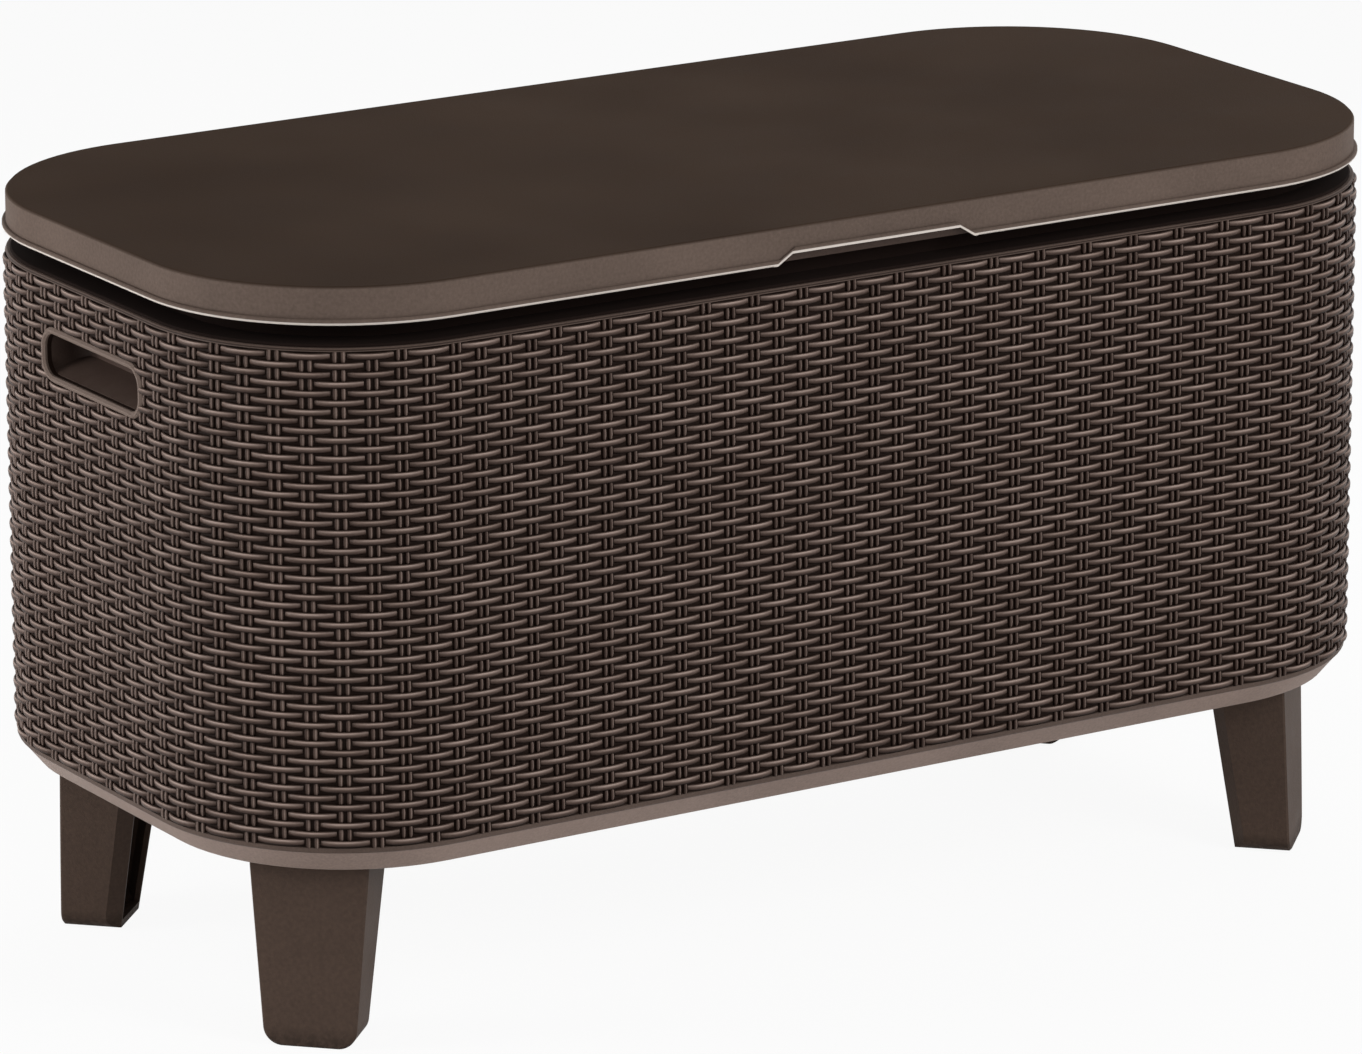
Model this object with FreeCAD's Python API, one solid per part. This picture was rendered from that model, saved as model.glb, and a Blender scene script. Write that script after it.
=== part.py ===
import FreeCAD, Part
import math
import os

from FreeCAD import Vector

# Cooler table with a hinged lid, in millimetres.
# X runs along the table, -Y is the front, and Z = 0 is the ground between the feet.

os.makedirs("parts", exist_ok=True)

# Overall sizes: the plan outline of the lid's skirt, and the height of its top
LID_LENGTH = 840.0
LID_WIDTH = 408.0
CORNER_RADIUS = 128.0
TOTAL_HEIGHT = 473.4

# Clearances between pieces
FIT_GAP = 0.4
SCREW_GAP = 0.05
PIN_GAP = 0.05
PLUG_GAP = 0.3

# Lid panel
LID_WALL = 3.0
SKIRT_HEIGHT = 22.6
TOP_EDGE_BEVEL = 1.6
LIP_HEIGHT = 3.4
LIP_PROUD = 2.4
LIP_BEVEL = 0.8
NOTCH_TOP = 120.0
NOTCH_BOTTOM = 141.0
NOTCH_HEIGHT = 6.5

# Gap between the lid and the body, and the body's rim
LID_GAP = 12.4
FLANGE_THICK = 1.6
FLANGE_INSET = 2.0
NECK_INSET = 22.0

# Outer shell
SHELL_PROUD = 0.5
SHELL_WALL = 3.6
SHELL_BOTTOM = 130.9
SHELL_EDGE_BEVEL = 0.8
RIM_BEAD_HEIGHT = 1.9
WEAVE_RECESS = 1.2
WEAVE_LOWER_BORDER = 3.2
BOTTOM_FLANGE_INSET = 40.0

# Hand grips in the two ends
GRIP_LENGTH = 124.0
GRIP_HEIGHT = 34.0
GRIP_RADIUS = 14.0
GRIP_DROP = 83.0
BEZEL_WIDTH = 4.0
BEZEL_PROUD = 2.0
BEZEL_BEVEL = 1.3
CUP_DEPTH = 24.0
CUP_WALL = 2.5
CUP_THROAT = 7.0
CUP_LIFT = 9.0
CUP_FLOOR_RISE = 8.0
CUP_FLANGE = 6.0

# Cooler tub
TUB_WALL = 3.0
MOUTH_INSET = 36.0
FLOOR_INSET = 47.0
TUB_FLOOR = 163.0
TUB_FLOOR_RADIUS = 12.0
TUB_UNDER_BEVEL = 8.0
RIM_RISE = 0.8
FOAM_GAP = 0.5

# Base tray, with a band that slopes inwards from the shell to the feet
BAND_TOP_INSET = 0.5
BAND_BOTTOM_INSET = 12.5
BAND_HEIGHT = 14.6
BAND_BEVEL = 1.5
BAND_WALL = 4.0
TRAY_WALL = 3.0
TRAY_RIB = 2.5
RIBS_ALONG = 6
RIBS_ACROSS = 2
RIB_GAP_ACROSS = 122.0
BASE_SCREW_MARGIN = 30.0
NUT_ROOM = 3.0

# Feet: each one is centred on the diagonal of its corner and splays out a little
FOOT_INSET_TOP = 31.0
FOOT_INSET_BOTTOM = 26.5
FOOT_HALF_TOP = 37.0
FOOT_HALF_BOTTOM = 28.0
FOOT_DEPTH_TOP = 50.0
FOOT_DEPTH_BOTTOM = 36.5
FOOT_WALL = 3.5
FOOT_SOLE = 5.0
FOOT_SOLE_RADIUS = 12.0
FOOT_EDGE_BEVEL = 1.2
FOOT_BACK_BEVEL = 8.5
FOOT_SCREW_SPREAD = 18.0
FOOT_SCREW_BACK = 28.0

# Lid liner, seal and core
LINER_PLATE = 3.0
SEAL_INSET = 26.0
SEAL_WIDTH = 5.0
SEAL_HEIGHT = 3.3
SEAL_SEAT = 0.8
PLUG_INSET = 39.5
PLUG_DRAFT = 2.5
PLUG_DEPTH = 11.5
BOSS_RADIUS = 5.0
REAR_BOSS_SHIFT = 40.0
REAR_BOSS_STEP = 6.0
APRON_SLOPE = 2.5

# Rear hinges
HINGE_MARGIN = 42.0
HINGE_INSET = 8.5
HINGE_AXIS_RISE = 1.8
HINGE_ROOM = 1.5
KNUCKLE_RADIUS = 4.5
KNUCKLE_HALF = 12.0
EAR_WIDTH = 8.0
PIN_RADIUS = 2.0
PIN_HEAD_RADIUS = 3.2
PIN_HEAD_LENGTH = 1.5
BRACKET_HALF = 32.0
BRACKET_BASE = 2.0
BRACKET_SCREW_X = 24.0
ARM_FRONT = 10.0
ARM_REAR = 4.0

# Drain
DRAIN_X = 0.0
SPOUT_BORE = 10.0
SPOUT_WALL = 3.0
SPOUT_FLANGE_RADIUS = 22.0
SPOUT_FLANGE = 2.0
SPOUT_END = 105.0
GASKET_THICK = 1.5
NUT_RADIUS = 19.0
NUT_HEIGHT = 7.0
PLUG_INSERT = 14.0
PLUG_CAP_RADIUS = 15.0
PLUG_CAP = 5.0

# Screws
SCREW_RADIUS = 2.0
SCREW_HEAD_RADIUS = 3.5
SCREW_HEAD = 2.2
SMALL_SCREW_RADIUS = 1.5
SMALL_HEAD_RADIUS = 2.8
SMALL_HEAD = 1.6
SCREW_BITE = 1.0

# Levels worked out from the sizes above
LIP_BOTTOM = TOTAL_HEIGHT - SKIRT_HEIGHT
FLANGE_TOP = LIP_BOTTOM - LID_GAP
SHELL_TOP = FLANGE_TOP - FLANGE_THICK
LID_CEILING = TOTAL_HEIGHT - LID_WALL
TUB_RIM = LIP_BOTTOM + RIM_RISE
LINER_BOTTOM = TUB_RIM + SEAL_HEIGHT - SEAL_SEAT
LINER_TOP = LINER_BOTTOM + LINER_PLATE
TRAY_BOTTOM = SHELL_BOTTOM - BAND_HEIGHT
TRAY_PLATE = SHELL_BOTTOM - TRAY_WALL
GRIP_Z = TOTAL_HEIGHT - GRIP_DROP
TUB_UNDERSIDE = TUB_FLOOR - TUB_WALL
HINGE_X = LID_LENGTH / 2 - CORNER_RADIUS - HINGE_MARGIN
HINGE_AXIS_Y = LID_WIDTH / 2 - HINGE_INSET
HINGE_AXIS_Z = LIP_BOTTOM + HINGE_AXIS_RISE
SPOUT_RADIUS = SPOUT_BORE + SPOUT_WALL
CORNERS = {
    "front_left": (-1, -1),
    "front_right": (1, -1),
    "rear_left": (-1, 1),
    "rear_right": (1, 1),
}
ENDS = {"left": -1, "right": 1}


def plan_outline(inset, z):
    """The table's rounded plan outline, drawn in from the skirt's line by the inset."""
    half_x = LID_LENGTH / 2 - inset
    half_y = LID_WIDTH / 2 - inset
    radius = CORNER_RADIUS - inset
    return rounded_wire(half_x, half_y, radius, z)


def rounded_wire(half_x, half_y, radius, z):
    """A closed rectangle with round corners in a level plane."""
    bend = radius * (1 - math.sqrt(0.5))
    edges = []
    corners = [(1, 1), (-1, 1), (-1, -1), (1, -1)]
    for index, (sx, sy) in enumerate(corners):
        on_side = Vector(sx * half_x, sy * (half_y - radius), z)
        on_front = Vector(sx * (half_x - radius), sy * half_y, z)
        middle = Vector(sx * (half_x - bend), sy * (half_y - bend), z)
        start, end = (on_side, on_front) if index % 2 == 0 else (on_front, on_side)
        edges.append(Part.Arc(start, middle, end).toShape())
    joined = []
    for index, arc in enumerate(edges):
        following = edges[(index + 1) % 4]
        joined.append(arc)
        leave = arc.valueAt(arc.LastParameter)
        arrive = following.valueAt(following.FirstParameter)
        joined.append(Part.LineSegment(leave, arrive).toShape())
    return Part.Wire(joined)


def slab(inset, low, high):
    """An upright block with the table's plan outline."""
    return Part.Face(plan_outline(inset, low)).extrude(Vector(0, 0, high - low))


def ring(outer_inset, inner_inset, low, high):
    """An upright band that follows the plan outline."""
    return slab(outer_inset, low, high).cut(slab(inner_inset, low - 1, high + 1))


def tapered(inset_low, low, inset_high, high):
    """A block with the plan outline whose walls lean from one inset to another."""
    wires = [plan_outline(inset_low, low), plan_outline(inset_high, high)]
    return Part.makeLoft(wires, True, True)


def block(x_low, x_high, y_low, y_high, z_low, z_high):
    """A plain block between its low and high faces."""
    size = (x_high - x_low, y_high - y_low, z_high - z_low)
    return Part.makeBox(*size, Vector(x_low, y_low, z_low))


def rod(radius, x, y, low, high):
    """An upright cylinder between two levels."""
    return Part.makeCylinder(radius, high - low, Vector(x, y, low))


def level_edges(shape, z):
    """The edges of a shape that lie in one level plane."""
    tolerance = 1e-4
    found = []
    for edge in shape.Edges:
        box = edge.BoundBox
        if abs(box.ZMin - z) < tolerance and abs(box.ZMax - z) < tolerance:
            found.append(edge)
    return found


def edges_facing(shape, place, axis):
    """The edges of a shape that lie in one upright plane across an axis, "x" or "y"."""
    tolerance = 1e-4
    found = []
    for edge in shape.Edges:
        box = edge.BoundBox
        low, high = (box.XMin, box.XMax) if axis == "x" else (box.YMin, box.YMax)
        if abs(low - place) < tolerance and abs(high - place) < tolerance:
            found.append(edge)
    return found


def end_block(length, height, radius, side, x_inner, x_outer, z):
    """A block with a rounded outline that looks out through one end of the table."""
    wire = rounded_wire(length / 2, height / 2, radius, 0)
    solid = Part.Face(wire).extrude(Vector(0, 0, x_outer - x_inner))
    solid.rotate(Vector(0, 0, 0), Vector(0, 0, 1), 90)
    solid.rotate(Vector(0, 0, 0), Vector(0, 1, 0), 90)
    solid.translate(Vector(x_inner, 0, z))
    if side < 0:
        solid = solid.mirror(Vector(0, 0, 0), Vector(1, 0, 0))
    return solid


def save(shape, name):
    """Write one piece, after checking that it is a sound solid or group of solids."""
    shape = shape.removeSplitter()
    sound = shape.isValid() and len(shape.Solids) > 0
    print(f"{name}: {len(shape.Solids)} solid, volume {shape.Volume / 1000:.1f} cm3, sound {sound}")
    shape.exportStep(f"parts/{name}.step")


def notch_prism(grow, height, y_low, y_high):
    """The finger notch's trapezoid, grown sideways and upwards, as a block through the front."""
    slope = (NOTCH_BOTTOM - NOTCH_TOP) / 2 / NOTCH_HEIGHT
    bottom = LIP_BOTTOM - 1
    half_low = NOTCH_BOTTOM / 2 + slope + grow
    half_high = NOTCH_BOTTOM / 2 - slope * height + grow
    corners = [
        Vector(-half_low, y_low, bottom),
        Vector(half_low, y_low, bottom),
        Vector(half_high, y_low, LIP_BOTTOM + height),
        Vector(-half_high, y_low, LIP_BOTTOM + height),
    ]
    face = Part.Face(Part.makePolygon(corners + corners[:1]))
    return face.extrude(Vector(0, y_high - y_low, 0))


def lid_boss_points():
    """Where the screws join the liner to the lid panel, midway across the margin."""
    inset = (LID_WALL + SEAL_INSET) / 2
    x = LID_LENGTH / 2 - inset
    y = LID_WIDTH / 2 - inset
    reach = LID_LENGTH / 2 - CORNER_RADIUS
    points = [(-reach, -y), (reach, -y), (-reach * 0.5, -y), (reach * 0.5, -y)]
    rear_x = reach + REAR_BOSS_SHIFT
    rear_y = y - REAR_BOSS_STEP
    points += [(-x, 0), (x, 0), (-rear_x, rear_y), (rear_x, rear_y), (0, y)]
    return points


def make_lid_top():
    """Moulded panel: skirt all round, a lip that climbs over the finger notch, screw bosses."""
    panel = slab(0, LIP_BOTTOM, TOTAL_HEIGHT)
    panel = panel.makeChamfer(TOP_EDGE_BEVEL, level_edges(panel, TOTAL_HEIGHT))
    lip = ring(-LIP_PROUD, LID_WALL / 2, LIP_BOTTOM, LIP_BOTTOM + LIP_HEIGHT)
    lip = lip.makeChamfer(LIP_BEVEL, outer_edges(lip, LIP_BOTTOM) + outer_edges(lip, LIP_BOTTOM + LIP_HEIGHT))
    front = -LID_WIDTH / 2
    frame = notch_prism(LIP_HEIGHT, NOTCH_HEIGHT + LIP_HEIGHT, front - LIP_PROUD, front + LID_WALL / 2)
    facing = edges_facing(frame, front - LIP_PROUD, "y")
    bevelled = [edge for edge in facing if edge.CenterOfMass.z > LIP_BOTTOM]
    frame = frame.makeChamfer(LIP_BEVEL, bevelled)
    frame = frame.common(slab(-LIP_PROUD, LIP_BOTTOM, LID_CEILING))
    panel = panel.fuse([lip, frame])
    panel = panel.cut(slab(LID_WALL, LIP_BOTTOM - 1, LID_CEILING))
    panel = panel.cut(notch_prism(0, NOTCH_HEIGHT, front - 2 * LIP_PROUD, front + 2 * LID_WALL))
    for x, y in lid_boss_points():
        panel = panel.fuse(rod(BOSS_RADIUS, x, y, LINER_TOP, LID_CEILING + 1))
        panel = panel.cut(rod(SCREW_RADIUS + SCREW_GAP, x, y, LINER_TOP - 1, LID_CEILING - SCREW_BITE))
    return panel


def hinge_space(x, half, grow):
    """Room in the liner for something that sits on the hinge's axis."""
    front = HINGE_AXIS_Y - ARM_FRONT - grow
    rear = LID_WIDTH / 2
    return block(x - half, x + half, front, rear, HINGE_AXIS_Z, LINER_TOP + 1)


def notch_apron():
    """Sloping face on the liner's front edge that closes the view behind the finger notch."""
    face_y = -LID_WIDTH / 2 + LID_WALL + FIT_GAP
    half = NOTCH_BOTTOM / 2 + LID_WALL
    outline = [
        (face_y, LINER_TOP),
        (face_y + APRON_SLOPE, LIP_BOTTOM),
        (face_y + APRON_SLOPE + LINER_PLATE, LIP_BOTTOM),
        (face_y + APRON_SLOPE + LINER_PLATE, LINER_TOP),
    ]
    corners = [Vector(-half, y, z) for y, z in outline]
    return Part.Face(Part.makePolygon(corners + corners[:1])).extrude(Vector(2 * half, 0, 0))


def make_lid_liner():
    """Inner panel with the plug that enters the tub's mouth and two ears for each hinge pin."""
    liner = slab(LID_WALL + FIT_GAP, LINER_BOTTOM, LINER_TOP)
    low = LINER_BOTTOM - PLUG_DEPTH
    plug = tapered(PLUG_INSET + PLUG_DRAFT, low, PLUG_INSET, LINER_BOTTOM)
    plug = plug.makeChamfer(PLUG_DRAFT, level_edges(plug, low))
    liner = liner.fuse([plug, notch_apron()])
    hollow_inset = PLUG_INSET + PLUG_DRAFT + LINER_PLATE
    liner = liner.cut(slab(hollow_inset, low + LINER_PLATE, LINER_TOP + 1))
    seat_inner = SEAL_INSET + SEAL_WIDTH + FIT_GAP
    liner = liner.cut(ring(SEAL_INSET - FIT_GAP, seat_inner, LINER_BOTTOM - 1, LINER_BOTTOM + SEAL_SEAT))
    for x, y in lid_boss_points():
        liner = liner.cut(rod(SCREW_RADIUS + SCREW_GAP, x, y, LINER_BOTTOM - 1, LINER_TOP + 1))
    ear_start = KNUCKLE_HALF + FIT_GAP
    ear_end = ear_start + EAR_WIDTH
    head_end = ear_end + FIT_GAP + PIN_HEAD_LENGTH + FIT_GAP
    for side in (-1, 1):
        centre = side * HINGE_X
        liner = liner.cut(hinge_space(centre, ear_start, HINGE_ROOM))
        for hand in (-1, 1):
            middle = centre + hand * (ear_end + head_end) / 2
            half = (head_end - ear_end) / 2
            liner = liner.cut(hinge_space(middle, half, -ARM_FRONT / 2))
            liner = liner.fuse(make_ear(centre + hand * (ear_start + ear_end) / 2))
        start = Vector(centre - head_end, HINGE_AXIS_Y, HINGE_AXIS_Z)
        liner = liner.cut(Part.makeCylinder(PIN_RADIUS + PIN_GAP, 2 * head_end, start, Vector(1, 0, 0)))
    return liner


def make_ear(x):
    """One hinge ear under the liner, round at the pin and square where it joins the plate."""
    start = Vector(x - EAR_WIDTH / 2, HINGE_AXIS_Y, HINGE_AXIS_Z)
    disc = Part.makeCylinder(KNUCKLE_RADIUS, EAR_WIDTH, start, Vector(1, 0, 0))
    web = block(x - EAR_WIDTH / 2, x + EAR_WIDTH / 2, HINGE_AXIS_Y - KNUCKLE_RADIUS,
                HINGE_AXIS_Y + KNUCKLE_RADIUS, HINGE_AXIS_Z, LINER_BOTTOM + LINER_PLATE / 2)
    trim = block(x - EAR_WIDTH, x + EAR_WIDTH, 0, LID_WIDTH, 0, LINER_TOP)
    return disc.fuse(web).common(trim)


def make_lid_foam():
    """Core between the lid panel and the liner, with a lower step that fills the plug."""
    upper = slab(LID_WALL + FOAM_GAP, LINER_TOP + FOAM_GAP, LID_CEILING - FOAM_GAP)
    step_inset = PLUG_INSET + PLUG_DRAFT + LINER_PLATE + FOAM_GAP
    low = LINER_BOTTOM - PLUG_DEPTH + LINER_PLATE + FOAM_GAP
    foam = upper.fuse(slab(step_inset, low, LINER_TOP + FOAM_GAP + 1))
    for x, y in lid_boss_points():
        foam = foam.cut(rod(BOSS_RADIUS + FOAM_GAP, x, y, low - 1, LID_CEILING))
    return foam


def make_lid_seal():
    """Soft gasket ring that rests on the tub's rim when the lid is shut."""
    return ring(SEAL_INSET, SEAL_INSET + SEAL_WIDTH, TUB_RIM, TUB_RIM + SEAL_HEIGHT)


def grip_opening(side, x_inner, x_outer):
    """The hand opening inside a grip's bezel."""
    length = GRIP_LENGTH - 2 * BEZEL_WIDTH
    height = GRIP_HEIGHT - 2 * BEZEL_WIDTH
    return end_block(length, height, GRIP_RADIUS - BEZEL_WIDTH, side, x_inner, x_outer, GRIP_Z)


def make_grip_bezel(side):
    """Raised frame round a hand opening, with its edges broken where the fingers meet it."""
    wall_out = LID_LENGTH / 2 + SHELL_PROUD
    face = wall_out + BEZEL_PROUD
    bezel = end_block(GRIP_LENGTH, GRIP_HEIGHT, GRIP_RADIUS, side, wall_out - SHELL_WALL / 2, face, GRIP_Z)
    bezel = bezel.cut(grip_opening(side, wall_out - 2 * SHELL_WALL, face + 1))
    return bezel.makeChamfer(BEZEL_BEVEL, edges_facing(bezel, side * face, "x"))


def make_body_shell():
    """Outer moulding: recessed field for the weave, rim bead, grip bezels, flanges at top and bottom."""
    outer = slab(-SHELL_PROUD, SHELL_BOTTOM, SHELL_TOP)
    rims = level_edges(outer, SHELL_BOTTOM) + level_edges(outer, SHELL_TOP)
    outer = outer.makeChamfer(SHELL_EDGE_BEVEL, rims)
    field_low = SHELL_BOTTOM + WEAVE_LOWER_BORDER
    field_high = SHELL_TOP - RIM_BEAD_HEIGHT
    outer = outer.cut(ring(-SHELL_PROUD - 1, WEAVE_RECESS - SHELL_PROUD, field_low, field_high))
    inner = slab(SHELL_WALL - SHELL_PROUD, SHELL_BOTTOM + SHELL_WALL, SHELL_TOP - SHELL_WALL)
    shell = outer.cut(inner)
    shell = shell.cut(slab(NECK_INSET + SHELL_WALL, SHELL_TOP - 2 * SHELL_WALL, SHELL_TOP + 1))
    shell = shell.cut(slab(BOTTOM_FLANGE_INSET, SHELL_BOTTOM - 1, SHELL_BOTTOM + 2 * SHELL_WALL))
    wall_out = LID_LENGTH / 2 + SHELL_PROUD
    for side in ENDS.values():
        shell = shell.fuse(make_grip_bezel(side))
        shell = shell.cut(grip_opening(side, wall_out - 3 * SHELL_WALL, wall_out + 2 * BEZEL_PROUD))
    for x, y in base_screw_points():
        flange_top = SHELL_BOTTOM + SHELL_WALL
        shell = shell.cut(rod(SCREW_RADIUS + SCREW_GAP, x, y, SHELL_BOTTOM - 1, flange_top + 1))
    return shell


def cup_profile(grow, x_mouth):
    """Side outline of a grip's pocket: sloping floor, and a ceiling that lifts behind the wall."""
    half = GRIP_HEIGHT / 2 - BEZEL_WIDTH
    throat = LID_LENGTH / 2 + SHELL_PROUD - SHELL_WALL - CUP_THROAT
    back = throat - CUP_DEPTH + CUP_THROAT
    points = [
        (x_mouth, GRIP_Z - half - grow),
        (back - grow, GRIP_Z - half + CUP_FLOOR_RISE - grow),
        (back - grow, GRIP_Z + half + CUP_LIFT + grow),
        (throat + grow, GRIP_Z + half + CUP_LIFT + grow),
        (throat + grow, GRIP_Z + half + grow),
        (x_mouth, GRIP_Z + half + grow),
    ]
    half_length = GRIP_LENGTH / 2 - BEZEL_WIDTH + grow
    corners = [Vector(x, -half_length, z) for x, z in points]
    face = Part.Face(Part.makePolygon(corners + corners[:1]))
    solid = face.extrude(Vector(0, 2 * half_length, 0))
    upright = [edge for edge in solid.Edges
               if edge.BoundBox.ZLength > GRIP_HEIGHT / 2 and abs(edge.CenterOfMass.x - back + grow) < 1]
    return solid.makeFillet(GRIP_RADIUS - BEZEL_WIDTH + grow, upright)


def make_grip_cup(side):
    """Finger pocket fixed behind the hand opening, with a flange against the shell's inner face."""
    face = LID_LENGTH / 2 + SHELL_PROUD - SHELL_WALL - FIT_GAP / 4
    cup = cup_profile(CUP_WALL, face)
    flange_half = GRIP_HEIGHT / 2 - BEZEL_WIDTH + CUP_WALL + CUP_FLANGE
    flange = end_block(GRIP_LENGTH + CUP_FLANGE, 2 * flange_half, GRIP_RADIUS, 1,
                       face - CUP_WALL, face, GRIP_Z)
    cup = cup.fuse(flange).cut(cup_profile(0, face + 1))
    if side < 0:
        cup = cup.mirror(Vector(0, 0, 0), Vector(1, 0, 0))
    return cup


def cup_room(side):
    """The space that a grip pocket needs in the foam."""
    face = LID_LENGTH / 2 + SHELL_PROUD
    x_low = face - SHELL_WALL - CUP_DEPTH - CUP_WALL - 2
    half_y = GRIP_LENGTH / 2 + CUP_FLANGE / 2 + 2
    low = GRIP_Z - GRIP_HEIGHT / 2 - CUP_FLANGE - 2
    room = block(x_low, face, -half_y, half_y, low, GRIP_Z + GRIP_HEIGHT / 2 + CUP_LIFT + CUP_FLANGE)
    if side < 0:
        room = room.mirror(Vector(0, 0, 0), Vector(1, 0, 0))
    return room


def tub_wall(offset):
    """Outside of the tub's drafted bucket, let out by an offset."""
    low = TUB_UNDERSIDE - offset
    bucket = tapered(FLOOR_INSET - TUB_WALL - offset, low, MOUTH_INSET - TUB_WALL - offset, TUB_RIM)
    return bucket.makeChamfer(TUB_UNDER_BEVEL, level_edges(bucket, low))


def make_cooler_tub():
    """One moulding: resting flange, neck, rolled-over rim and drafted bucket with round floor edges."""
    flange = ring(FLANGE_INSET, NECK_INSET + TUB_WALL, SHELL_TOP, FLANGE_TOP)
    flange = flange.makeChamfer(FLANGE_THICK / 2, outer_edges(flange, FLANGE_TOP))
    neck = ring(NECK_INSET, NECK_INSET + TUB_WALL, SHELL_TOP, TUB_RIM)
    neck = neck.makeChamfer(TUB_WALL / 3, outer_edges(neck, TUB_RIM))
    rim = ring(NECK_INSET + TUB_WALL - 1, MOUTH_INSET + 1, TUB_RIM - TUB_WALL, TUB_RIM)
    tub = flange.fuse([neck, rim, tub_wall(0)])
    cavity = tapered(FLOOR_INSET, TUB_FLOOR, MOUTH_INSET, TUB_RIM)
    cavity = cavity.makeFillet(TUB_FLOOR_RADIUS, level_edges(cavity, TUB_FLOOR))
    tub = tub.cut(cavity)
    tub = tub.cut(rod(SPOUT_RADIUS + FIT_GAP, DRAIN_X, 0, TUB_UNDERSIDE - 1, TUB_FLOOR + 1))
    for x, y in hinge_screw_points():
        tub = tub.cut(rod(SMALL_SCREW_RADIUS + SCREW_GAP, x, y, SHELL_TOP - 1, FLANGE_TOP + 1))
    return tub


def outer_edges(shape, z):
    """The outermost loop of a ring's edges at one level."""
    half = shape.BoundBox.XMax
    found = []
    for edge in level_edges(shape, z):
        box = edge.BoundBox
        reach = max(abs(box.XMin), abs(box.XMax))
        side = max(abs(box.YMin), abs(box.YMax))
        if abs(reach - half) < 0.01 or abs(side - shape.BoundBox.YMax) < 0.01:
            found.append(edge)
    return found


def make_tub_foam():
    """Insulation that fills the space between the shell and the tub."""
    inset = SHELL_WALL - SHELL_PROUD + FOAM_GAP
    low = SHELL_BOTTOM + SHELL_WALL + FOAM_GAP
    high = SHELL_TOP - SHELL_WALL - FOAM_GAP
    foam = slab(inset, low, high).cut(tub_wall(FOAM_GAP))
    foam = foam.cut(rod(SPOUT_FLANGE_RADIUS, DRAIN_X, 0, low - 1, TUB_FLOOR))
    for side in ENDS.values():
        foam = foam.cut(cup_room(side))
    for x, y in base_screw_points():
        foam = foam.cut(rod(SCREW_HEAD_RADIUS, x, y, low - 1, low + 2 * SCREW_BITE + SHELL_WALL))
    return foam


def base_screw_points():
    """Where the tray is screwed to the shell's lower flange."""
    inset = (BAND_BOTTOM_INSET + BAND_WALL + BOTTOM_FLANGE_INSET) / 2
    x = LID_LENGTH / 2 - inset
    y = LID_WIDTH / 2 - inset
    reach = LID_LENGTH / 2 - CORNER_RADIUS - BASE_SCREW_MARGIN
    points = [(sx * reach, sy * y) for sx in (-1, 1) for sy in (-1, 1)]
    points += [(0, -y), (0, y), (-x, 0), (x, 0)]
    return points


def foot_centre(corner):
    """Centre of the plan outline's corner arc, about which the foot's outer face is turned."""
    sx, sy = CORNERS[corner]
    return Vector(sx * (LID_LENGTH / 2 - CORNER_RADIUS), sy * (LID_WIDTH / 2 - CORNER_RADIUS), 0)


def place_at_corner(shape, corner):
    """Turn a shape made on the +Y side of the origin to face out of one corner."""
    sx, sy = CORNERS[corner]
    angle = math.degrees(math.atan2(-sx, sy))
    placed = shape.copy()
    placed.rotate(Vector(0, 0, 0), Vector(0, 0, 1), angle)
    placed.translate(foot_centre(corner))
    return placed


def foot_wedge(shrink, low, high, back_extra):
    """Tapered block of a foot with its back corners bevelled, drawn in by its wall."""

    def at(z, top, bottom):
        return bottom + (top - bottom) * z / TRAY_BOTTOM

    bevel = FOOT_BACK_BEVEL - shrink * (2 - math.sqrt(2))
    wires = []
    for z in (low, high):
        face = CORNER_RADIUS - at(z, FOOT_INSET_TOP, FOOT_INSET_BOTTOM)
        back = face - at(z, FOOT_DEPTH_TOP, FOOT_DEPTH_BOTTOM) + shrink
        front = face - shrink
        half = at(z, FOOT_HALF_TOP, FOOT_HALF_BOTTOM) - shrink
        right = [(half - bevel, back), (half, back + bevel), (half, front)]
        if back_extra > 0:
            right.insert(0, (half - bevel, back - back_extra))
        left = [(-x, y) for x, y in reversed(right)]
        corners = [Vector(x, y, z) for x, y in right + left]
        wires.append(Part.makePolygon(corners + corners[:1]))
    return Part.makeLoft(wires, True, True)


def foot_screw_offsets():
    """Two screws through each foot's top plate, either side of its diagonal."""
    y = CORNER_RADIUS - FOOT_INSET_TOP - FOOT_SCREW_BACK
    return [(-FOOT_SCREW_SPREAD, y), (FOOT_SCREW_SPREAD, y)]


def make_foot(corner):
    """Open-backed tapered foot: a flat outer wall, two flanks with bevelled edges, a sole, a top plate."""
    foot = foot_wedge(0, 0, TRAY_BOTTOM, 0)
    sole = [edge for edge in level_edges(foot, 0) if abs(edge.CenterOfMass.x) > FOOT_HALF_BOTTOM * 0.9]
    foot = foot.makeFillet(FOOT_SOLE_RADIUS, sole)
    middle = CORNER_RADIUS - FOOT_INSET_BOTTOM - FOOT_DEPTH_BOTTOM / 2
    upright = [edge for edge in foot.Edges
               if edge.BoundBox.ZLength > TRAY_BOTTOM / 2 and edge.CenterOfMass.y > middle]
    foot = foot.makeChamfer(FOOT_EDGE_BEVEL, upright)
    hollow = foot_wedge(FOOT_WALL, FOOT_SOLE, TRAY_BOTTOM - TRAY_WALL, FOOT_DEPTH_TOP)
    low_corners = [edge for edge in level_edges(hollow, FOOT_SOLE)
                   if abs(edge.CenterOfMass.x) > FOOT_HALF_BOTTOM - FOOT_WALL - 1]
    hollow = hollow.makeChamfer(FOOT_SOLE_RADIUS / 2, low_corners)
    foot = foot.cut(hollow)
    for x, y in foot_screw_offsets():
        foot = foot.cut(rod(SCREW_RADIUS + SCREW_GAP, x, y, TRAY_BOTTOM - 2 * TRAY_WALL, TRAY_BOTTOM + 1))
    return place_at_corner(foot, corner)


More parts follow.
